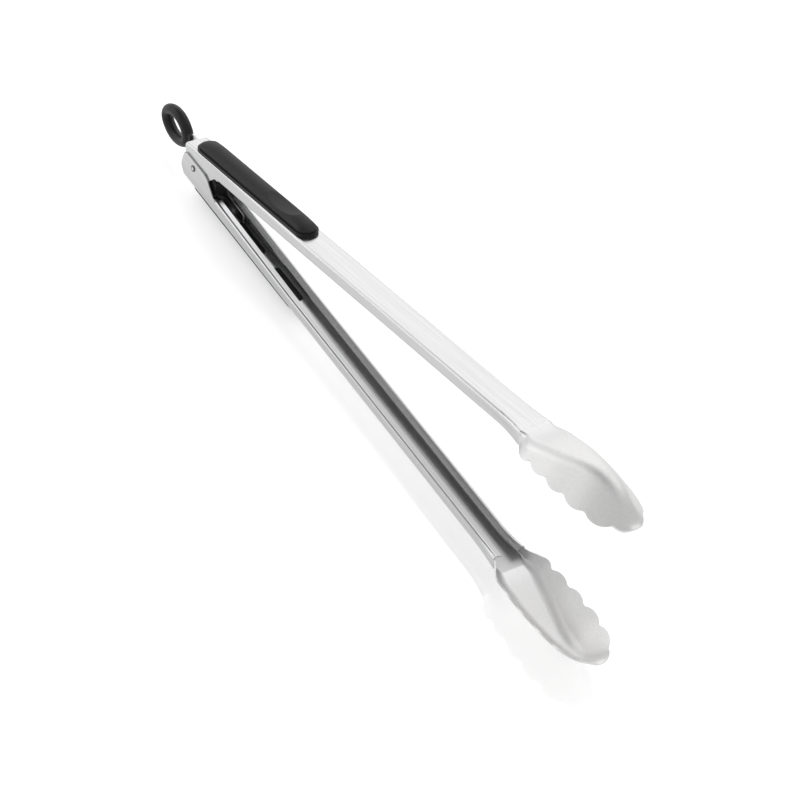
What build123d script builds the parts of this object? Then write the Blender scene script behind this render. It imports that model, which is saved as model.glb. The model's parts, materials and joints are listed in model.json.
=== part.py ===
from build123d import *

from math import atan2, cos, hypot, pi, radians, sin, sqrt, tan
import os

# Spring loaded kitchen tongs, sixteen inch class, standing open on the lower arm.
# The tongs lie on their lower arm, which runs along +X, and the origin is on the surface under their
# middle. The upper arm swings up about the hinge pin, which lies along Y. All sizes are in millimetres.

os.makedirs("parts", exist_ok=True)

# ---- driving dimensions ----
pin_x = -171.1           # the hinge pin's place from the origin
pin_z = 19.5
sheet = 0.8              # stainless sheet
opening = 12.4           # angle between the arms at rest, degrees
web_height = 11.8        # hinge axis to the outer face of an arm's web
arm_width = 17.4         # both arms, from the end of the taper to the flare
lower_ear_width = 17.0
upper_ear_width = 15.0   # the upper arm narrows at the pin, to fit between the lower ears
web_bend = 1.8           # outer radius of the bend from web to wall
rim_bend = 1.5           # outer radius of the bend from wall to lip
lip_width = 5.0
lip_slope = 16.0         # degrees that a lip leans into the channel
upper_rear = -10.7
lower_rear = -12.4
ear_reach = 7.0          # how far the walls reach past the pin before the ears are trimmed
lip_start = 26.0
taper_end = 110.0        # the arm grows wider and its walls shallower up to here
flare_start = 298.0      # the walls flare and deepen a little before the jaw
flare = 1.2
rim_droop = 1.5
arm_end = 316.5          # the channel ends and the jaw begins
lower_rim = 5.0          # hinge axis to a wall's rim along the arm
upper_rim = 4.2
rim_rear_height = 3.2    # the same where the lips start

# grips
grip_start = -2.8
grip_length = 118.0
grip_width = 14.2
flange_height = 1.8
pad_inset = 1.1
pad_height = 4.8
pad_edge_height = 0.9
end_length = 17.0        # a pad falls towards each end over this length
end_fall = 2.6
plug_width = 6.0
plug_length = 29.0
plug_rear = 0.486        # place of each plug's middle, as a share of the grip's length from its rear
plug_front = 0.837
plug_clearance = 0.1
plug_gap = 0.2           # a plug stops this far short of the web's inner face
thumb_place = 0.75       # a share of the grip's length
thumb_radius = 67.0
thumb_depth = 1.7

# hinge
pin_radius = 1.5
pin_clearance = 0.05
head_radius = 2.0
head_height = 0.5
head_bevel = 0.3

# spring
wire = 1.2
coil_radius = 6.2
coil_pitch = 1.3
coil_start = 3.9
leg_slope = 1.5          # degrees that a leg leans away from the arm's axis
leg_lead = 6.0           # length over which a leg straightens out of the coil
leg_reach = 39.6
hook_lean = 0.9
hook_radius = 1.5
bush_radius = 5.2
bush_start = 3.4
bush_end = 6.4

# lock
lock_travel = 8.0
plate_thickness = 1.2
plate_side = 1.9         # face of the plate that the slider lies against
plate_rear = -21.0
plate_front = 19.5
plate_half_height = 7.5
tail_half_height = 6.4
tail_length = 8.0        # the plate widens over this length
shoulder_rear = 3.0      # and narrows again between these two places
shoulder_front = 9.0
nose_half_height = 4.5
tongue_length = 5.0
tongue_half_height = 2.4
tongue_root = 0.5        # the tongue's overlap with the plate
slider_rear = -7.0
slider_front = 22.0
slider_side = -6.3
slider_half_height = 5.5
slider_corner = 2.0

# pull ring
ring_centre = -38.2
ring_side = 2.2          # the ring's middle plane, along the pin
ring_drop = 0.2          # and below the pin
ring_half_length = 12.4
ring_half_height = 8.0
ring_tube = 3.5
ring_end_radius = 5.2    # the oval's tighter arcs
neck_half_height = 5.0
neck_half_width = 1.9
neck_round = 1.2

# jaw, beyond the channel's end
jaw_length = 73.5        # to the last pair of notches
jaw_half_width = 16.0    # between the notches, where they are widest apart
jaw_rise = 19.5          # hinge axis to the highest part of the back
wall_lean = 37.0         # lean of the jaw's walls away from square to the web, degrees
end_lobe_lean = 58.0     # the last lobe on each side leans more
tip_lean = 84.0
jaw_top = -8.0           # the hull is built up to here, then trimmed by the scallops
hull_depth = 30.0
neck_length = 6.0
lobe_rim = 5.5
lobe_corner = 5.0
lobe_bulge = 0.21        # how far a lobe bulges past its chord, as a share of the chord
tip_bulge = 0.375
disc_reach = 4.0
relief_start = 0.4       # the lips end in a small relief cut
relief_place = 2.6
relief_depth = 1.4


# ---- frames of the two arms: x along the arm, z outwards through the web ----
lift = radians(opening)
pin_place = Vector(pin_x, 0, pin_z)
upper_frame = Plane(pin_place, x_dir=(cos(lift), 0, sin(lift)), z_dir=(-sin(lift), 0, cos(lift)))
lower_frame = Plane(pin_place, x_dir=(1, 0, 0), z_dir=(0, 0, -1))
pin_frame = Plane(pin_place, x_dir=(1, 0, 0), z_dir=(0, 0, 1))


def across(frame, x):
    """Plane square to the arm at x, with the arm's y and z as its own axes."""
    return Plane(frame.from_local_coords(Vector(x, 0, 0)), x_dir=frame.y_dir, z_dir=frame.x_dir)


def beside(frame, y=0.0):
    """Plane along the arm at y, seen from the side, with the arm's x and z as its own axes."""
    return Plane(frame.from_local_coords(Vector(0, y, 0)), x_dir=frame.x_dir, z_dir=-frame.y_dir)


def over(frame, z):
    """Plane parallel to the web at height z, with the arm's x and y as its own axes."""
    return Plane(frame.from_local_coords(Vector(0, 0, z)), x_dir=frame.x_dir, z_dir=frame.z_dir)


def past(x, start, end):
    """How far x lies between start and end, from 0 to 1."""
    return min(max((x - start) / (end - start), 0.0), 1.0)


def half_width(ear_width, x):
    """Half the arm's width at x: narrow at the ears, even along the arm, then flared at the jaw."""
    width = ear_width + (arm_width - ear_width) * past(x, lip_start, taper_end)
    return width / 2 + flare * past(x, flare_start, arm_end) ** 2


def rim_at(rim, x):
    """Height of the wall's rim at x."""
    height = rim_rear_height + (rim - rim_rear_height) * past(x, lip_start, taper_end)
    return height - rim_droop * past(x, flare_start, arm_end) ** 2


def round_corner(sketch, y, z, radius):
    """Round the sketch's two corners at (+-y, z)."""
    corners = [v for v in sketch.vertices() if hypot(abs(v.X) - y, v.Y - z) < 0.01]
    fillet(corners, radius)


# ---- stamped arms ----
def tray_section(frame, ear_width, x, depth):
    """Plain U section at x: web, bends and walls that reach down to depth."""
    outer = half_width(ear_width, x)
    inner = outer - sheet
    with BuildSketch(across(frame, x)) as tray:
        Polygon((-outer, depth), (-outer, web_height), (outer, web_height), (outer, depth),
                (inner, depth), (inner, web_height - sheet), (-inner, web_height - sheet), (-inner, depth),
                align=None)
        round_corner(tray, outer, web_height, web_bend)
        round_corner(tray, inner, web_height - sheet, web_bend - sheet)
    return tray.sketch


def lipped_section(frame, ear_width, arm_rim, x):
    """C section at x: the same web and walls, with a lip turned in from each rim."""
    outer = half_width(ear_width, x)
    inner = outer - sheet
    rim = rim_at(arm_rim, x)
    slope = tan(radians(lip_slope))
    skin = sheet / cos(radians(lip_slope))
    tip = outer - lip_width
    drop = slope * lip_width
    under = rim + skin + slope * sheet
    edge = [(outer, web_height), (outer, rim), (tip, rim + drop), (tip, rim + drop + skin),
            (inner, under), (inner, web_height - sheet)]
    with BuildSketch(across(frame, x)) as section:
        Polygon(*edge, *[(-y, z) for y, z in reversed(edge)], align=None)
        round_corner(section, outer, web_height, web_bend)
        round_corner(section, inner, web_height - sheet, web_bend - sheet)
        round_corner(section, outer, rim, rim_bend)
        round_corner(section, inner, under, rim_bend - sheet)
    return section.sketch


def channel(frame, ear_width, arm_rim, start, ear_depth):
    """The arm from its rear end to the jaw, before the ears are cut to shape."""
    flare_places = [flare_start + (arm_end - flare_start) * share for share in (0, 0.3, 0.6, 0.85, 1)]
    with BuildPart() as body:
        loft([tray_section(frame, ear_width, x, ear_depth) for x in (start, lip_start)], ruled=True)
        for first, last in ((lip_start, taper_end), (taper_end, flare_start)):
            loft([lipped_section(frame, ear_width, arm_rim, x) for x in (first, last)], ruled=True)
        loft([lipped_section(frame, ear_width, arm_rim, x) for x in flare_places])
    return body.part


# ---- jaw ----
# Place along the jaw, half width and height of the notch line and height of the back, each as a share of
# its named size, then the lean of the wall and the radius between wall and back, as a share of the rise.
jaw_shape = (
    (0.0, (arm_width / 2 + flare) / jaw_half_width, 0.390, web_height / jaw_rise, 0.0, 0.09),
    (0.034, 0.650, 0.390, 0.610, 13.0, 0.12),
    (0.070, 0.728, 0.390, 0.622, 27.0, 0.22),
    (0.109, 0.838, 0.390, 0.638, 35.0, 0.32),
    (0.153, 0.915, 0.390, 0.665, 37.0, 0.40),
    (0.233, 0.944, 0.390, 0.732, 37.0, 0.44),
    (0.415, 1.000, 0.359, 0.867, 37.0, 0.44),
    (0.605, 0.975, 0.313, 0.9885, 37.0, 0.42),
    (0.796, 0.912, 0.251, 0.940, 38.0, 0.42),
    (0.918, 0.738, 0.215, 0.728, 42.0, 0.32),
    (1.0, 0.550, 0.190, 0.430, 50.0, 0.34),
    (1.109, 0.313, 0.040, 0.140, 60.0, 0.15),
)
jaw_sections = [
    (arm_end + place * jaw_length, side * jaw_half_width, notch * jaw_rise, back * jaw_rise, lean,
     corner * jaw_rise)
    for place, side, notch, back, lean, corner in jaw_shape
]
notch_shape = ((0.233, 0.944, 0.390), (0.416, 1.0, 0.359), (0.604, 0.975, 0.313), (0.801, 0.906, 0.251),
               (1.0, 0.550, 0.190))
notches = [
    (arm_end + place * jaw_length, side * jaw_half_width, height * jaw_rise) for place, side, height in notch_shape
]
neck_end = arm_end + neck_length


def hull_section(frame, x, side, notch, back, lean, corner, inset):
    """Closed section of the jaw's hull; inset moves its walls and back inwards."""
    slope = tan(radians(lean))
    side = side - inset / cos(radians(lean))
    back = back - inset
    foot = side - (back - notch) * slope
    top = side + (notch - jaw_top) * slope
    with BuildSketch(across(frame, x)) as section:
        Polygon((-top, jaw_top), (-foot, back), (foot, back), (top, jaw_top), align=None)
        round_corner(section, foot, back, corner - inset)
    return section.sketch


def hull(frame, inset):
    """Boat shaped solid of the jaw, or its hollow when inset by the sheet."""
    sections = []
    for index, (x, side, notch, back, lean, corner) in enumerate(jaw_sections):
        ahead = jaw_sections[min(index + 1, len(jaw_sections) - 1)]
        behind = jaw_sections[max(index - 1, 0)]
        fall = (behind[3] - ahead[3]) / (ahead[0] - behind[0])
        shift = inset * max(fall, 0) / hypot(1, fall)
        sections.append(hull_section(frame, x - shift, side, notch, back, lean, corner, inset))
    with BuildPart() as boat:
        loft(sections)
    return boat.part


def lobe(frame, start, end, outward, lean, bulge):
    """Disc square to the jaw's wall, whose edge passes through two notches and bulges past them."""
    start, end = Vector(*start), Vector(*end)
    half = (end - start).length / 2
    height = 2 * half * bulge
    radius = (half**2 + height**2) / (2 * height)
    chord = (end - start).normalized()
    rise = outward * sin(radians(lean)) - Vector(0, 0, 1) * cos(radians(lean))
    rise = (rise - chord * rise.dot(chord)).normalized()
    middle = (start + end) * 0.5
    centre = middle - rise * (radius - height)
    return disc(frame, centre, chord.cross(rise), radius)


def disc(frame, centre, normal, radius):
    """Disc as thick as a lobe needs, placed in the arm's own axes."""
    with BuildPart() as cutter:
        facing = frame.from_local_coords(normal) - pin_place
        with BuildSketch(Plane(frame.from_local_coords(centre), z_dir=facing)):
            Circle(radius)
        extrude(amount=disc_reach, both=True)
    return cutter.part


def scallops(frame):
    """Everything that the jaw keeps: the neck, the tray inside the notches, and eleven lobes."""
    lean = radians(wall_lean)
    climb = (notches[0][2] - lobe_rim) / cos(lean)
    corner = notches[0][0] - sqrt(2 * climb * lobe_corner - climb**2)
    inside = [(x, y) for x, y, z in notches]
    with BuildPart() as keep:
        with BuildSketch(over(frame, jaw_top)):
            Polygon((neck_end, notches[0][1] / 2), (corner, notches[0][1]), *inside,
                    *[(x, -y) for x, y in reversed(inside)], (corner, -notches[0][1]),
                    (neck_end, -notches[0][1] / 2), align=None)
        extrude(amount=hull_depth)
        with BuildSketch(over(frame, lobe_rim)):
            with Locations(((arm_end + corner) / 2, 0)):
                Rectangle(corner - arm_end, 4 * arm_width)
        extrude(amount=hull_depth)
        for side in (1, -1):
            foot = Vector(corner, side * notches[0][1], notches[0][2])
            rise = Vector(0, side * sin(lean), -cos(lean))
            normal = Vector(0, side * cos(lean), sin(lean))
            add(disc(frame, foot + rise * (climb - lobe_corner), normal, lobe_corner))
            leans = [wall_lean] * (len(notches) - 2) + [end_lobe_lean]
            for start, end, lobe_lean in zip(notches, notches[1:], leans):
                outward = Vector(start[1] - end[1], side * (end[0] - start[0]), 0).normalized()
                points = [(x, side * y, z) for x, y, z in (start, end)]
                add(lobe(frame, *points, outward, lobe_lean, lobe_bulge))
        x, y, z = notches[-1]
        add(lobe(frame, (x, -y, z), (x, y, z), Vector(1, 0, 0), tip_lean, tip_bulge))
    return keep.part


def jaw(frame, arm_rim):
    """Scalloped spoon, open towards the other arm."""
    rim = rim_at(arm_rim, arm_end)
    with BuildPart() as shell:
        add(hull(frame, 0))
        add(hull(frame, sheet), mode=Mode.SUBTRACT)
        add(scallops(frame), mode=Mode.INTERSECT)
        with BuildSketch(beside(frame)):
            Polygon((arm_end, jaw_top), (arm_end, rim), (arm_end + relief_start, rim),
                    (arm_end + relief_place, rim + relief_depth), (neck_end, lobe_rim),
                    (neck_end, jaw_top), align=None)
        extrude(amount=arm_width, both=True, mode=Mode.SUBTRACT)
    return shell.part


# ---- ears ----
def arm(frame, ear_width, arm_rim, start, ear_depth, ear):
    """A whole stamped arm, with its walls trimmed to the ear's outline, holed for the pin and slotted."""
    far = 2 * arm_end
    with BuildPart() as body:
        add(channel(frame, ear_width, arm_rim, start, ear_depth))
        with BuildSketch(beside(frame)):
            with BuildLine():
                FilletPolyline(*[point for point, turn in ear], radius=[turn for point, turn in ear][1:-1])
                Polyline(ear[-1][0], (ear[-1][0][0], -far), (far, -far), (far, far),
                         (ear[0][0][0], far), ear[0][0])
            make_face()
        extrude(amount=arm_width, both=True, mode=Mode.INTERSECT)
        add(jaw(frame, arm_rim))
        with BuildSketch(beside(frame)):
            Circle(pin_radius + pin_clearance)
        extrude(amount=arm_width, both=True, mode=Mode.SUBTRACT)
        add(plugs(frame, web_height - 2 * sheet, 3 * sheet, 0), mode=Mode.SUBTRACT)
    return body.part


# ---- grips ----
def plugs(frame, height, depth, clearance):
    """The two stadium slots through a web, or the plugs that fill them."""
    with BuildPart() as pair:
        with BuildSketch(over(frame, height)):
            with Locations(*[(grip_start + share * grip_length, 0) for share in (plug_rear, plug_front)]):
                SlotOverall(plug_length - 2 * clearance, plug_width - 2 * clearance)
        extrude(amount=depth)
    return pair.part


def grip_base(frame):
    """Hard flange on the web, with a plug through each slot, a little short of the web's inner face."""
    with BuildPart() as base:
        with BuildSketch(over(frame, web_height)):
            with Locations((grip_start + grip_length / 2, 0)):
                SlotOverall(grip_length, grip_width)
        extrude(amount=flange_height)
        add(plugs(frame, web_height - sheet + plug_gap, sheet - plug_gap, plug_clearance))
    return base.part


def pad_section(frame, x, from_end):
    """Arched section of a pad at x: low sides under half an ellipse, smaller near the pad's end."""
    half = grip_width / 2 - pad_inset
    fullness = sqrt(1 - (1 - past(from_end, 0, half)) ** 2)
    side = half * fullness
    fall = end_fall * (1 - past(from_end, 0, end_length)) ** 2
    foot = web_height + flange_height
    edge = pad_edge_height * (1 + fullness) / 2
    crown = (pad_height - pad_edge_height - fall) * (1 + 2 * fullness) / 3
    with BuildSketch(across(frame, x)) as section:
        with BuildLine():
            EllipticalCenterArc((0, foot + edge), side, crown, 0, arc_size=180)
            Polyline((-side, foot + edge), (-side, foot), (side, foot), (side, foot + edge))
        make_face()
    return section.sketch


def grip_pad(frame):
    """Soft crowned bar on the flange, lower at both ends, with a thumb rest near the front."""
    half = grip_width / 2 - pad_inset
    rear = grip_start + pad_inset
    front = grip_start + grip_length - pad_inset
    nose = [half * (1 - cos(pi / 2 * share)) for share in (0.09, 0.15, 0.3, 0.45, 0.6, 0.8, 1)]
    rise = [half, (half + end_length) / 2, end_length]
    thumb = grip_start + thumb_place * grip_length
    top = web_height + flange_height + pad_height
    with BuildPart() as pad:
        for steps in (nose, rise):
            loft([pad_section(frame, rear + step, step) for step in steps])
            loft([pad_section(frame, front - step, step) for step in reversed(steps)])
        extrude(pad_section(frame, rear + end_length, end_length), amount=front - rear - 2 * end_length)
        with BuildSketch(beside(frame)):
            with Locations((thumb, top - thumb_depth + thumb_radius)):
                Circle(thumb_radius)
        extrude(amount=grip_width, both=True, mode=Mode.SUBTRACT)
    return pad.part


# ---- the pieces ----
# Corners of each ear's outline beside the arm, and the radius that each is rounded to.
over_web = web_height + sheet
upper_ear = (((upper_rear, over_web), 0), ((upper_rear, -1.5), 4.0), ((-6.5, -5.5), 3.0), ((8.0, -5.5), 4.0),
             ((15.7, -0.9), 1.0), ((22.4, 3.9), 0.8), ((lip_start, 3.9), 0))
lower_ear = (((-7.2, over_web), 0), ((-13.4, 5.8), 5.0), ((-11.4, -3.6), 2.0), ((-8.6, -4.7), 1.5),
             ((12.3, -4.7), 5.0), ((16.4, -2.9), 2.0), ((23.4, 2.8), 0.5), ((lip_start, 3.2), 0))

with BuildPart() as lower_arm:
    add(arm(lower_frame, lower_ear_width, lower_rim, lower_rear - sheet, -ear_reach, lower_ear))
lower_arm.part.label = "lower_arm"
export_step(lower_arm.part, "parts/lower_arm.step")

with BuildPart() as upper_arm:
    add(arm(upper_frame, upper_ear_width, upper_rim, upper_rear, -ear_reach, upper_ear))
upper_arm.part.label = "upper_arm"
export_step(upper_arm.part, "parts/upper_arm.step")

for frame, name in ((lower_frame, "lower"), (upper_frame, "upper")):
    with BuildPart() as base:
        add(grip_base(frame))
    base.part.label = f"{name}_grip_base"
    export_step(base.part, f"parts/{name}_grip_base.step")
    with BuildPart() as pad:
        add(grip_pad(frame))
    pad.part.label = f"{name}_grip_pad"
    export_step(pad.part, f"parts/{name}_grip_pad.step")

# The pin is pressed into the lower arm's ears and peened over at both ends.
with BuildPart() as hinge_pin:
    reach = half_width(lower_ear_width, 0)
    with BuildSketch(beside(pin_frame)):
        Circle(pin_radius)
    extrude(amount=reach, both=True)
    for side in (1, -1):
        with BuildSketch(beside(pin_frame, side * reach)):
            Circle(head_radius)
        extrude(amount=-side * head_height)
    outer_rims = hinge_pin.edges().filter_by(lambda rim: abs(rim.center().Y) > reach + head_height / 2)
    chamfer(outer_rims, head_bevel)
hinge_pin.part.label = "hinge_pin"
export_step(hinge_pin.part, "parts/hinge_pin.step")

with BuildPart() as spring_bush:
    with BuildSketch(beside(pin_frame, bush_start)):
        Circle(bush_radius)
        Circle(pin_radius + pin_clearance, mode=Mode.SUBTRACT)
    extrude(amount=bush_start - bush_end)
spring_bush.part.label = "spring_bush"
export_step(spring_bush.part, "parts/spring_bush.step")


# ---- spring ----
def leg_points(angle, y, side, lead):
    """Where a leg leaves the coil, where it runs straight, its bend at the web and its tip."""
    along = Vector(cos(angle), 0, sin(angle))
    out = Vector(-sin(angle), 0, cos(angle)) * side
    slope = radians(leg_slope)
    ray = along * cos(slope) + out * sin(slope)
    leave = (out * cos(slope) - along * sin(slope)) * coil_radius + Vector(0, y, 0)
    straight = leave + ray * leg_lead + Vector(0, lead, 0)
    bend = straight + ray * (leg_reach - leg_lead)
    gap = web_height - sheet - wire / 2 - bend.dot(out)
    tip = bend + out * gap + along * hook_lean
    return [pin_place + point for point in (leave, straight, bend, tip)] + [ray]


coil_angle = 540 - opening - 2 * leg_slope
coil_height = coil_pitch * coil_angle / 360
climb = coil_pitch / hypot(coil_pitch, 2 * pi * coil_radius)  # sine of the coil's climb along the pin
with BuildPart() as torsion_spring:
    lower_leg = leg_points(0, coil_start, -1, -climb * leg_lead / 2)
    upper_leg = leg_points(lift, coil_start + coil_height, 1, climb * leg_lead / 2)
    with BuildLine() as wound:
        Helix(coil_pitch, coil_height, coil_radius)
    coil_foot = pin_place + Vector(0, coil_start, 0)
    coil_frame = Plane(coil_foot, x_dir=lower_leg[0] - coil_foot, z_dir=(0, 1, 0))
    with BuildLine() as path:
        add(coil_frame.location * wound.line)
        for (leave, straight, bend, tip, ray), turn in ((lower_leg, -1), (upper_leg, 1)):
            Spline(leave, straight, tangents=(ray + Vector(0, turn * climb, 0), ray))
            FilletPolyline(straight, bend, tip, radius=hook_radius)
    with BuildSketch(Plane(lower_leg[3], z_dir=lower_leg[3] - lower_leg[2])):
        Circle(wire / 2)
    sweep(path=path.wires()[0], is_frenet=True)
torsion_spring.part.label = "torsion_spring"
export_step(torsion_spring.part, "parts/torsion_spring.step")

# ---- lock ----
with BuildPart() as lock_plate:
    with BuildSketch(beside(pin_frame, plate_side)):
        edge = [(plate_rear, tail_half_height), (plate_rear + tail_length, plate_half_height),
                (shoulder_rear, plate_half_height), (shoulder_front, nose_half_height),
                (plate_front, nose_half_height)]
        Polygon(*edge, *[(x, -z) for x, z in reversed(edge)], align=None)
        with Locations((plate_rear + tongue_root - tongue_length / 2, 0)):
            Rectangle(tongue_length, 2 * tongue_half_height)
        with Locations((lock_travel / 2, 0)):
            SlotCenterToCenter(lock_travel, 2 * (pin_radius + pin_clearance), mode=Mode.SUBTRACT)
    extrude(amount=-plate_thickness)
lock_plate.part.label = "lock_plate"
export_step(lock_plate.part, "parts/lock_plate.step")

with BuildPart() as lock_slider:
    with BuildSketch(beside(pin_frame, plate_side)):
        with Locations(((slider_rear + slider_front) / 2, 0)):
            RectangleRounded(slider_front - slider_rear, 2 * slider_half_height, slider_corner)
        with Locations((lock_travel / 2, 0)):
            SlotCenterToCenter(lock_travel, 2 * (pin_radius + pin_clearance), mode=Mode.SUBTRACT)
    extrude(amount=plate_side - slider_side)
lock_slider.part.label = "lock_slider"
export_step(lock_slider.part, "parts/lock_slider.step")

with BuildPart() as pull_ring:
    half, rise, tight = ring_half_length, ring_half_height, ring_end_radius
    wide = (half**2 + rise**2 - 2 * half * tight) / (2 * (rise - tight))  # radius of the flatter arcs
    turn = atan2(wide - rise, half - tight)  # where the arcs meet, seen from the tight arc's centre
    meet = (half - tight + tight * cos(turn), tight * sin(turn))
    corners = [(ring_centre + x * meet[0], z * meet[1] - ring_drop)
               for x, z in ((1, 1), (-1, 1), (-1, -1), (1, -1))]
    with BuildLine(beside(pin_frame, ring_side)) as loop:
        ThreePointArc(corners[3], (ring_centre + half, -ring_drop), corners[0])
        ThreePointArc(corners[0], (ring_centre, rise - ring_drop), corners[1])
        ThreePointArc(corners[1], (ring_centre - half, -ring_drop), corners[2])
        ThreePointArc(corners[2], (ring_centre, -rise - ring_drop), corners[3])
    with BuildSketch(Plane(loop.line @ 0, z_dir=loop.line % 0)):
        Circle(ring_tube)
    sweep(path=loop.wires()[0])
    with BuildSketch(across(pin_frame, plate_rear)):
        with Locations((ring_side, -ring_drop)):
            RectangleRounded(2 * neck_half_width, 2 * neck_half_height, neck_round)
    extrude(amount=-tongue_length)
    add(lock_plate.part, mode=Mode.SUBTRACT)
pull_ring.part.label = "pull_ring"
export_step(pull_ring.part, "parts/pull_ring.step")
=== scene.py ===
# %% [markdown]
# Kitchen tongs in Blender.
# The solids come ready from the CAD frame, in metres, with the table top at z = 0, and they stay as they
# are. What is made here is the finish of every surface, a welded copy of the spring, the light of a
# plain studio, and the camera.

# %% Load the frame
import json
from math import cos, pi, radians

import bmesh
import bpy
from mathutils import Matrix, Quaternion, Vector


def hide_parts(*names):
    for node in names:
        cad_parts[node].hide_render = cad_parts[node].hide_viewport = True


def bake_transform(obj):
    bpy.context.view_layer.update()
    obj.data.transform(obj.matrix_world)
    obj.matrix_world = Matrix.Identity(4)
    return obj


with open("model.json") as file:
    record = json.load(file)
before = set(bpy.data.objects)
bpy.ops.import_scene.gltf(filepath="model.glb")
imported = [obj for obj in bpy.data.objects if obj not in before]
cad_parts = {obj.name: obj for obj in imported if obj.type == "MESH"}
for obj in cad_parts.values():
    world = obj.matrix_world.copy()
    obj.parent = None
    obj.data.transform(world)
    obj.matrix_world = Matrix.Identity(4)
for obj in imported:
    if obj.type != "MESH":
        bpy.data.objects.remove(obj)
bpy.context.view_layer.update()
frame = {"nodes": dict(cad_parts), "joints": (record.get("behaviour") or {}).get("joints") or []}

# %% [markdown]
# The camera.
# A long lens stands beyond the jaws, looks down along the tongs, and is rolled a little, so that they lie
# across the picture. A direction, a distance and a roll say that more plainly than three angles typed by
# hand would. A long lens keeps the near jaws from looking too large beside the far ring.

# %% Place the camera
look_along = Vector((-0.52504, 0.48760, -0.69748)).normalized()
looked_at = Vector((0.03843, 0.0, 0.02374))
camera_distance = 1.1872
camera_roll = radians(14.304)

camera_data = bpy.data.cameras.new("camera")
camera_data.lens = 100.96
camera_data.sensor_width = 36.0
camera_data.clip_end = 50.0
camera = bpy.data.objects.new("camera", camera_data)
bpy.context.collection.objects.link(camera)
camera.location = looked_at - look_along * camera_distance
camera.rotation_mode = "QUATERNION"
camera.rotation_quaternion = look_along.to_track_quat("-Z", "Y") @ Quaternion((0, 0, 1), camera_roll)
bpy.context.scene.camera = camera
print("camera stands", round(camera.location.z, 3), "m above the table")

# %% [markdown]
# Helpers for nodes.
# A finish is a small network: coordinates go in, noise makes a pattern of them, and the pattern moves a
# colour or a roughness a little. The same few steps come back in every finish, so each gets a short
# function. The coordinates are always Object coordinates, because then a pattern stays on its piece when
# the arms move.

# %% Node helpers
def node_of(tree, kind, **settings):
    """A new node, with its settings and its outputs ready for use."""
    node = tree.nodes.new("ShaderNode" + kind)
    for setting, value in settings.items():
        setattr(node, setting, value)
    return node


def feed(tree, socket, term):
    """Puts a number, a colour or another node's output into a socket."""
    if isinstance(term, bpy.types.NodeSocket):
        tree.links.new(term, socket)
    else:
        socket.default_value = term


def calculate(tree, operation, *terms):
    """A Math node."""
    node = node_of(tree, "Math", operation=operation)
    for socket, term in zip(node.inputs, terms):
        feed(tree, socket, term)
    return node.outputs["Value"]


def spread(tree, value, low, high, start=0.0, end=1.0, curve="LINEAR"):
    """Maps start to end onto low to high, and stays level outside."""
    node = node_of(tree, "MapRange", interpolation_type=curve)
    sizes = {"From Min": start, "From Max": end, "To Min": low, "To Max": high}
    for name, size in sizes.items():
        node.inputs[name].default_value = size
    tree.links.new(value, node.inputs["Value"])
    return node.outputs["Result"]


def blend_of(tree, share, first, second, kind="FLOAT"):
    """The first value where the share is 0 and the second where it is 1."""
    node = node_of(tree, "Mix", data_type=kind)
    feed(tree, node.inputs["Factor"], share)
    feed(tree, node.inputs["A"], first)
    feed(tree, node.inputs["B"], second)
    return node.outputs["Result"]


print("ready: node_of, feed, calculate, spread, blend_of")

# %% [markdown]
# Helpers for patterns.
# Rolled lines, tumbled satin and moulded pebble are all one noise, drawn at another size and stretch. An
# image of each would do the same, but noise needs no file and has no seam. A pattern then shifts a grey a
# little, or tilts the light as if the surface were rough.

# %% Pattern helpers
def placed(tree, where, **mapping):
    """Coordinates after a Mapping node that moves, turns or stretches them."""
    node = node_of(tree, "Mapping")
    for name, value in mapping.items():
        node.inputs[name.capitalize()].default_value = value
    tree.links.new(where, node.inputs["Vector"])
    return node.outputs["Vector"]


def grain(tree, where, scale, stretch=(1, 1, 1), detail=3.0):
    """Noise, drawn out along an axis where its stretch is small."""
    noise = node_of(tree, "TexNoise")
    noise.inputs["Scale"].default_value = scale
    noise.inputs["Detail"].default_value = detail
    tree.links.new(placed(tree, where, scale=stretch), noise.inputs["Vector"])
    return noise.outputs["Fac"]


def two_greys(tree, pattern, dark, light):
    """A dark colour in the pattern's low places and a light one in its high places."""
    share = spread(tree, pattern, 0.0, 1.0, start=0.3, end=0.7)
    return blend_of(tree, share, (*dark, 1.0), (*light, 1.0), kind="RGBA")


def roughen(tree, shader, pattern, strength, depth):
    """Lets a pattern tilt the light on a surface, as if it were that deep, in metres."""
    bump = node_of(tree, "Bump")
    bump.inputs["Strength"].default_value = strength
    bump.inputs["Distance"].default_value = depth
    tree.links.new(pattern, bump.inputs["Height"])
    tree.links.new(bump.outputs["Normal"], shader.inputs["Normal"])


print("ready: placed, grain, two_greys, roughen")

# %% [markdown]
# Helpers for finishes.
# Every finish starts as one Principled shader with its plain colour, metal and roughness. A CAD node comes
# with one material slot, so to dress it is to empty that slot and put the finish there.

# %% Finish helpers
def new_finish(name, colour, metallic, roughness):
    """A material, its node tree, its Principled shader and its Object coordinates."""
    finish = bpy.data.materials.new(name)
    finish.use_nodes = True
    tree = finish.node_tree
    shader = tree.nodes["Principled BSDF"]
    shader.inputs["Base Color"].default_value = (*colour, 1.0)
    shader.inputs["Metallic"].default_value = metallic
    shader.inputs["Roughness"].default_value = roughness
    return finish, tree, shader, node_of(tree, "TexCoord").outputs["Object"]


def dress(node, finish):
    """Gives a CAD node its finish."""
    piece = frame["nodes"][node]
    piece.data.materials.clear()
    piece.data.materials.append(finish)
    print(node, "is dressed in", finish.name)


print("ready: new_finish, dress")

# %% [markdown]
# Where a place on an arm is.
# Each arm is pressed from one strip, so its finish is told by the place along it. A painted map would need
# the arm unfolded first. The upper arm stands open, so its coordinates are turned back by that angle. After
# that both arms read the same: x runs from the hinge to the jaw, and z is how far a place lies above or below
# the hinge axis.

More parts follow.
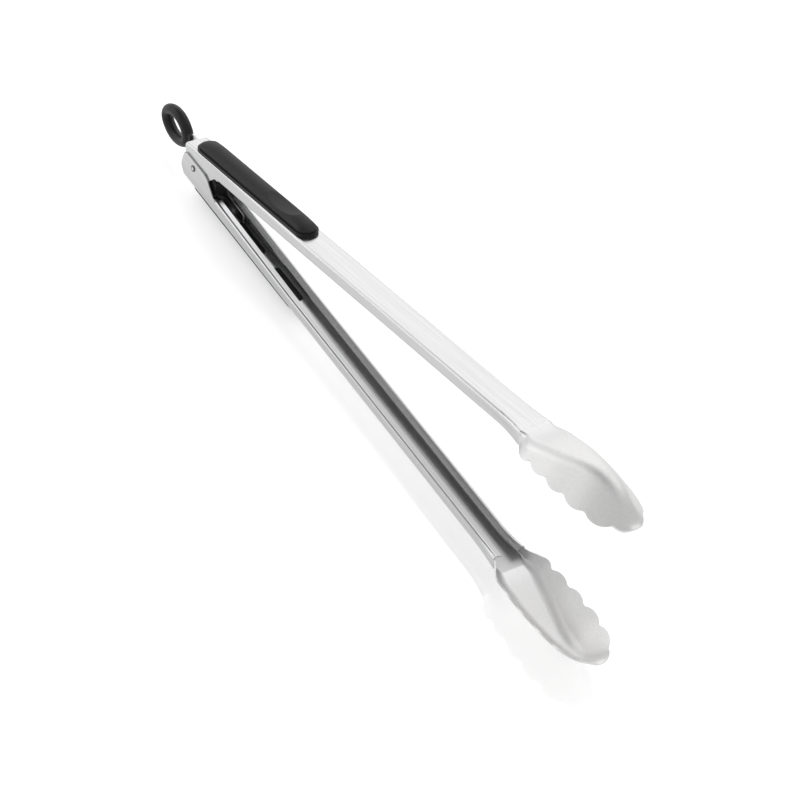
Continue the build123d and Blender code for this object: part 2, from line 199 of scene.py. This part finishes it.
# %% Coordinates along an arm
hinge = Vector([joint for joint in frame["joints"] if joint["name"] == "arm_hinge"][0]["pos_m"])
opening = radians(12.4)


def along_arm(tree, where, lift):
    """Coordinates that start at the hinge and run along an arm lifted by that angle."""
    start = Quaternion((0, 1, 0), lift) @ hinge
    return placed(tree, where, rotation=(0.0, lift, 0.0), location=-start)


def within(tree, value, low, high):
    """1 where a value lies between low and high, and 0 elsewhere."""
    return calculate(tree, "COMPARE", value, (low + high) / 2, (high - low) / 2)


print("hinge at", [round(value, 4) for value in hinge])

# %% [markdown]
# Bright outside, dull inside.
# Stainless strip leaves the rolls bright, with faint lines along its length. The inside of the channel is
# taken to be duller, as a press often leaves it. That is an assumption, made for the looks. The two sides of
# the sheet can't have a material each, because a CAD node has one slot. But the inside lies in a known space:
# between the walls, and nearer the axis than the middle of the web's thickness. So the place decides, over
# the web and the foot of the walls. The change fades in along the arm only so that no edge shows.

# %% Roughness of the pressed strip
inner_half_width = 0.0082
inner_heights = (0.0070, 0.0114)
fades_in = (0.085, 0.170)


def strip_roughness(tree, place, lines):
    """Bright outside and dull inside, each moved a little by the rolled lines."""
    height = calculate(tree, "ABSOLUTE", place["Z"])
    between_walls = within(tree, place["Y"], -inner_half_width, inner_half_width)
    under_web = within(tree, height, *inner_heights)
    along_the_arm = spread(tree, place["X"], 0.0, 1.0, *fades_in, curve="SMOOTHSTEP")
    inside = calculate(tree, "MULTIPLY", along_the_arm, calculate(tree, "MULTIPLY", between_walls, under_web))
    bright, dull = spread(tree, lines, 0.16, 0.30), spread(tree, lines, 0.42, 0.56)
    return blend_of(tree, inside, bright, dull)


print("the inside is dull over", round(2000 * inner_half_width, 1), "mm of the channel's width")

# %% [markdown]
# The arms' steel.
# Stainless steel returns about three fifths of the light, so every further reflection inside the channel is
# darker than the one before, and the channel grows deep by itself. The jaws have a soft satin, as tumbling
# leaves. Their colour is set well above three fifths. That is a choice of looks and not of metal: a satin
# face mirrors the grey of the whole room, and true steel would look too dark there. Both finishes are one
# material, and the distance along the arm turns one into the other over the last part of the neck.

# %% Steel of the arms
neck = (0.305, 0.345)


def arm_steel(name, lift):
    """Rolled strip that turns into tumbled satin at the neck, for an arm lifted by that angle."""
    finish, tree, shader, where = new_finish(name, (0.62, 0.62, 0.625), 1.0, 0.3)
    arm = along_arm(tree, where, lift)
    split = node_of(tree, "SeparateXYZ")
    tree.links.new(arm, split.inputs["Vector"])
    jaw = spread(tree, split.outputs["X"], 0.0, 1.0, *neck, curve="SMOOTHSTEP")
    lines = grain(tree, arm, 900.0, stretch=(0.02, 1.0, 1.0), detail=4.0)
    satin = grain(tree, arm, 700.0, detail=4.0)

    strip = two_greys(tree, lines, (0.58, 0.58, 0.585), (0.66, 0.66, 0.665))
    tumbled = two_greys(tree, satin, (0.81, 0.805, 0.80), (0.86, 0.855, 0.85))
    colour = blend_of(tree, jaw, strip, tumbled, kind="RGBA")
    rough = blend_of(tree, jaw, strip_roughness(tree, split.outputs, lines), spread(tree, satin, 0.44, 0.52))
    tree.links.new(colour, shader.inputs["Base Color"])
    tree.links.new(rough, shader.inputs["Roughness"])
    tree.links.new(spread(tree, jaw, 1.0, 0.95), shader.inputs["Metallic"])
    roughen(tree, shader, lines, 0.08, 0.0001)
    return finish


dress("lower_arm", arm_steel("lower arm steel", 0.0))
dress("upper_arm", arm_steel("upper arm steel", opening))

# %% [markdown]
# The rivet that is the hinge.
# The head of the rivet gets a painted highlight in its middle and painted shade at its edge. Both are drawn
# in the colour, because the head is too small to show that light and shade by its shape alone. The distance
# from the pin's axis tells the two apart, whichever way the head faces: the coordinates are squeezed flat
# along the pin, and their length is that distance.

# %% Pin steel
# Radii over which the painted highlight in the middle of the head turns into painted shade at its rim.
painted_highlight_radii = (0.0008, 0.0014)


def pin_steel():
    """Rivet steel, with a painted highlight in the middle of the head and painted shade at its rim."""
    finish, tree, shader, where = new_finish("pin steel", (0.3, 0.3, 0.3), 1.0, 0.35)
    flat = placed(tree, where, location=(-hinge.x, 0.0, -hinge.z), scale=(1.0, 0.0, 1.0))
    reach = node_of(tree, "VectorMath", operation="LENGTH")
    tree.links.new(flat, reach.inputs[0])
    rim = spread(tree, reach.outputs["Value"], 0.0, 1.0, *painted_highlight_radii)
    # Painted highlight in the middle of the head, painted shade at its rim.
    tint = blend_of(tree, rim, (0.7, 0.7, 0.7, 1.0), (0.12, 0.12, 0.12, 1.0), kind="RGBA")
    tree.links.new(tint, shader.inputs["Base Color"])
    return finish


dress("hinge_pin", pin_steel())

# %% [markdown]
# Plain steel.
# The lock plate and the spring are made from plain stock, and little of them shows. Lines like those of the
# arms would be lost on them, so one grey with a fine speckle in its roughness is enough.

# %% Plain steel
speckle_size = 900.0
speckle_spread = 0.06


def plain_steel(name, grey, roughness):
    """One grey, with a fine speckle in its roughness."""
    finish, tree, shader, where = new_finish(name, (grey, grey, grey), 1.0, roughness)
    speckle = grain(tree, where, speckle_size)
    rough = spread(tree, speckle, roughness - speckle_spread, roughness + speckle_spread)
    tree.links.new(rough, shader.inputs["Roughness"])
    return finish


dress("lock_plate", plain_steel("lock plate steel", 0.7, 0.3))

# %% [markdown]
# Black plastics.
# The moulded pieces are almost black, so their shine is what tells them apart. The ring is the glossiest, the
# hard grip base comes next, and the nylon and the soft grip are the dullest. The soft grip is also a shade
# lighter. A fine pebble, as a mould leaves it, keeps their highlights from looking like glass.

# %% Black plastics
fine_pebble = 2500.0
soft_pebble = 1800.0
pebble_spread = 0.05


def black_plastic(name, grey, roughness, pebble):
    """Moulded plastic with a fine pebble."""
    finish, tree, shader, where = new_finish(name, (grey, grey, grey), 0.0, roughness)
    shader.inputs["Specular IOR Level"].default_value = 0.3
    pebbles = grain(tree, where, pebble)
    rough = spread(tree, pebbles, roughness - pebble_spread, roughness + pebble_spread)
    tree.links.new(rough, shader.inputs["Roughness"])
    roughen(tree, shader, pebbles, 0.15, 0.0002)
    return finish


dress("pull_ring", black_plastic("ring plastic", 0.012, 0.38, fine_pebble))
nylon = black_plastic("black nylon", 0.01, 0.5, fine_pebble)
hard_black = black_plastic("grip base plastic", 0.012, 0.45, fine_pebble)
soft_black = black_plastic("soft grip", 0.018, 0.5, soft_pebble)
for node, finish in {"lock_slider": nylon, "spring_bush": nylon,
                     "lower_grip_base": hard_black, "upper_grip_base": hard_black,
                     "lower_grip_pad": soft_black, "upper_grip_pad": soft_black}.items():
    dress(node, finish)

# %% [markdown]
# The spring.
# A torsion spring has one leg on each arm, and its coil winds up as the arms close. No single body can carry
# that. Here a copy of the spring is shown in place of the CAD spring, as it stands, and it doesn't bend with
# the arms. The CAD mesh is loose triangles, so the copy is welded first.

# %% Copy of the spring
spring_mesh = frame["nodes"]["torsion_spring"].data.copy()
welded = bmesh.new()
welded.from_mesh(spring_mesh)
bmesh.ops.remove_doubles(welded, verts=welded.verts, dist=1e-6)
for face in welded.faces:
    face.smooth = True
welded.to_mesh(spring_mesh)
welded.free()
spring_mesh.materials.clear()
spring_mesh.materials.append(plain_steel("spring wire", 0.5, 0.3))
spring = bpy.data.objects.new("wound_spring", spring_mesh)
bpy.context.collection.objects.link(spring)
print("welded spring has", len(spring_mesh.vertices), "points")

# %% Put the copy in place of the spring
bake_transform(spring)
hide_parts("torsion_spring")

# %% [markdown]
# The table.
# Polished metal has hardly any colour of its own: it shows what stands around it. So the studio is built for
# what each face of the tongs sees, and the table is its largest part. It is white lacquer: glossy under the
# jaws, so that they stand on a pale reflection, and satin towards the ring. One roughness all over would give
# either no reflection or too much of one.

# %% Table
table_width = 8.0
below_the_tongs = 0.0002
bpy.ops.mesh.primitive_plane_add(size=table_width, location=(0.0, 0.0, -below_the_tongs))
table = bpy.context.object
table.name = "table"
lacquer, tree, shader, where = new_finish("table white", (0.9, 0.9, 0.9), 0.0, 0.05)
shader.inputs["IOR"].default_value = 2.6
table.data.materials.append(lacquer)

split = node_of(tree, "SeparateXYZ")
tree.links.new(where, split.inputs["Vector"])
satin = spread(tree, split.outputs["X"], 0.55, 0.05, start=-0.06, end=0.14, curve="SMOOTHSTEP")
tree.links.new(satin, shader.inputs["Roughness"])
print("table is", table_width, "m wide")

# %% [markdown]
# The table's glow.
# A white table still renders grey in a plain light, and more light would wash out the steel. So the table
# glows a little, but only for the eye and for the metal's reflections. The glow lights nothing by itself, and
# the tongs keep their shadow on the table. It is a little stronger along the near side, where the glossy
# table would mirror the upper arm.

# %% Table's glow
metal_glow = 0.33
glossy_glow = 0.385
satin_share = 0.26
near_side_glow = 0.14

looked = node_of(tree, "LightPath")
satin_glow = calculate(tree, "MULTIPLY_ADD", satin, satin_share, glossy_glow)
near_side = spread(tree, split.outputs["Y"], near_side_glow, 0.0, start=-0.05, end=-0.03, curve="SMOOTHSTEP")
whole_glow = calculate(tree, "ADD", satin_glow, near_side)
to_the_eye = calculate(tree, "MULTIPLY", looked.outputs["Is Camera Ray"], whole_glow)
strength = calculate(tree, "MULTIPLY_ADD", looked.outputs["Is Glossy Ray"], metal_glow, to_the_eye)

glow = node_of(tree, "Emission")
glow.inputs["Color"].default_value = (1.0, 1.0, 1.0, 1.0)
tree.links.new(strength, glow.inputs["Strength"])
both = node_of(tree, "AddShader")
tree.links.new(shader.outputs["BSDF"], both.inputs[0])
tree.links.new(glow.outputs["Emission"], both.inputs[1])
tree.links.new(both.outputs["Shader"], tree.nodes["Material Output"].inputs["Surface"])
print("table glows", glossy_glow, "to the eye and", metal_glow, "in the metal")

# %% [markdown]
# The room.
# The room is a light grey all round, except for a dim patch high over the tongs' rear end. The lower arm's
# far lip mirrors that patch and turns into a dark line beside the bright near lip, and the jaws' shoulders
# catch a little of it. A black card over the table would do the same, but it would also throw a shadow. The
# camera itself sees plain white behind the table.

# %% World
room_level = 0.6
dim_level = 0.03
dim_direction = Vector((-0.50, 0.02, 0.87)).normalized()
dim_core, dim_edge = radians(13.0), radians(27.0)

world = bpy.data.worlds.new("studio")
world.use_nodes = True
bpy.context.scene.world = world
tree = world.node_tree
room = tree.nodes["Background"]
room.inputs["Color"].default_value = (1.0, 1.0, 1.0, 1.0)

closeness = node_of(tree, "VectorMath", operation="DOT_PRODUCT")
closeness.inputs[1].default_value = dim_direction
tree.links.new(node_of(tree, "TexCoord").outputs["Object"], closeness.inputs[0])
level = spread(tree, closeness.outputs["Value"], room_level, dim_level,
               start=cos(dim_edge), end=cos(dim_core), curve="SMOOTHSTEP")
tree.links.new(level, room.inputs["Strength"])

backdrop = node_of(tree, "Background")
backdrop.inputs["Color"].default_value = (1.0, 1.0, 1.0, 1.0)
backdrop.inputs["Strength"].default_value = 1.0
chosen = node_of(tree, "MixShader")
tree.links.new(node_of(tree, "LightPath").outputs["Is Camera Ray"], chosen.inputs["Fac"])
tree.links.new(room.outputs["Background"], chosen.inputs[1])
tree.links.new(backdrop.outputs["Background"], chosen.inputs[2])
tree.links.new(chosen.outputs["Shader"], tree.nodes["World Output"].inputs["Surface"])
print("room level", room_level, "falls to", dim_level, "in the dim patch")

# %% [markdown]
# The lamps.
# Each lamp is a soft rectangle placed where one group of faces mirrors it. The far wall of light gives the
# upper web its even white. The far side reflector is weaker and lights the lower arm's near lip. The low near
# reflector draws the bright line along the near bends and lights the jaws' leaning walls. The rear fill adds
# a thinner line along the upper arm. The overhead softbox lights the floor of the lower jaw, the edges of the
# lower channel and the table's gloss. To see what a lamp does, take its line out and compare.
# A level of 1 would be white by itself, so a lamp's energy is its area times that level, and times pi.

# %% Lamps
lamp_distance = 2.2
lamps = {
    "far wall of light": ((-0.77, 0.49, 0.40), (1.2, 1.0), 0.82),
    "far side reflector": ((-0.42, 0.87, 0.26), (1.7, 1.1), 0.3),
    "low near reflector": ((-0.73, -0.58, 0.36), (1.4, 1.0), 1.1),
    "rear fill": ((-0.87, -0.02, 0.49), (1.4, 1.0), 0.55),
    "overhead softbox": ((-0.25, 0.52, 0.82), (2.0, 1.1), 0.9),
}


def soft_light(name, towards, size, level):
    """A soft rectangle of light that stands in a direction from the tongs and faces them."""
    lamp = bpy.data.lights.new(name, "AREA")
    lamp.shape = "RECTANGLE"
    lamp.size, lamp.size_y = size
    lamp.energy = level * pi * size[0] * size[1]
    light = bpy.data.objects.new(name, lamp)
    bpy.context.collection.objects.link(light)
    light.location = towards.normalized() * lamp_distance
    light.rotation_mode = "QUATERNION"
    light.rotation_quaternion = (-towards).to_track_quat("-Z", "Y")
    light.visible_camera = False
    print(name, "gives", round(lamp.energy, 2), "W")


for name, (towards, size, level) in lamps.items():
    soft_light(name, Vector(towards), size, level)

# %% [markdown]
# The end.
# Standard shows colours as they are written, where Filmic and AgX would grey the whites.

# %% Show colours as written
bpy.context.scene.view_settings.view_transform = "Standard"
